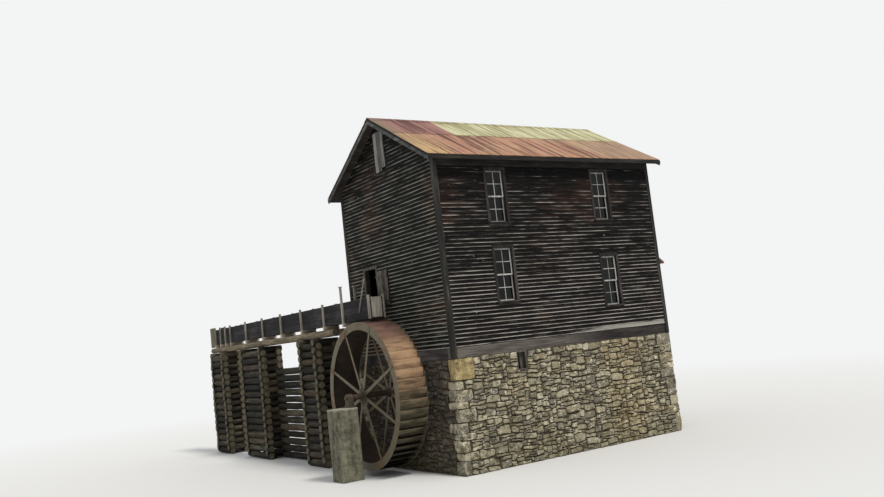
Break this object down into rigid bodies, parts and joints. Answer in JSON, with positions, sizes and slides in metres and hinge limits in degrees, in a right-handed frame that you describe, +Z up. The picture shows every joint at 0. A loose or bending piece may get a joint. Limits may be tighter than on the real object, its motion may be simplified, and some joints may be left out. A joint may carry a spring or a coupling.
{
  "type": "watermill",
  "caption": "Overshot watermill: a clapboard mill on a rubble foundation, a turning bucket wheel on its gable, and a plank flume carried on log cribs.",
  "frame": {"origin": "middle of the whole part's footprint on the lowest ground", "axes": "+Z up; the eave front with the vent faces -Y; the wheel is on the left gable at -X; the flume runs from the wheel along +Y"},
  "size_m": [11.917, 17.76, 10.5072],
  "materials": {
    "rubble": "rough",
    "old_timber": "weathered",
    "clapboard": "weathered",
    "trim": "weathered",
    "plank": "weathered",
    "rusty_sheet": "rusted",
    "window_paint": "weathered paint",
    "glass": "dull",
    "wheel_steel": "rusted",
    "axle_steel": "rusted",
    "concrete": "rough",
    "log": "bark and bare wood"
  },
  "bodies": {
    "mill": {"attic_floor": "old_timber", "attic_shutters": "plank", "back_wall": "clapboard", "bargeboards": "trim", "bearings": "axle_steel", "cellar_vent": "old_timber", "control_pole": "trim", "corner_boards": "trim", "crib_cross_logs": "log", "crib_link_logs": "log", "crib_long_logs": "log", "eave_boards": "trim", "flume_cross_sills": "trim", "flume_end_boards": "plank", "flume_floor": "plank", "flume_posts": "trim", "flume_sides": "plank", "foundation_back": "rubble", "foundation_front": "rubble", "foundation_left": "rubble", "foundation_right": "rubble", "front_wall": "clapboard", "ground_floor": "old_timber", "hatch_door": "plank", "hatch_frame": "plank", "hatch_hinges": "axle_steel", "lean_to_base": "rubble", "lean_to_door": "plank", "lean_to_end_walls": "plank", "lean_to_floor": "plank", "lean_to_roof": "rusty_sheet", "lean_to_side_wall": "plank", "left_wall_at_hatch": "clapboard", "left_wall_back": "clapboard", "left_wall_front": "clapboard", "pier": "concrete", "ridge_cap": "rusty_sheet", "right_wall_back": "clapboard", "right_wall_front": "clapboard", "right_wall_over_door": "clapboard", "roof_deck_back": "old_timber", "roof_deck_front": "old_timber", "roof_sheets_back": "rusty_sheet", "roof_sheets_front": "rusty_sheet", "sill_beams_end": "old_timber", "sill_beams_long": "old_timber", "stringers": "log", "upper_floor": "old_timber", "window_frames": "window_paint", "window_glass": "glass"},
    "water_wheel": {"shrouds": "wheel_steel", "sole": "wheel_steel", "buckets": "wheel_steel", "spokes": "wheel_steel", "hubs": "axle_steel", "axle": "axle_steel"}
  },
  "joints": [
    {"name": "wheel_spin", "type": "hinge", "parent": "mill", "child": "water_wheel", "pos_m": [-4.485, -5.365, 2.284], "axis": [1, 0, 0], "continuous": true}
  ]
}
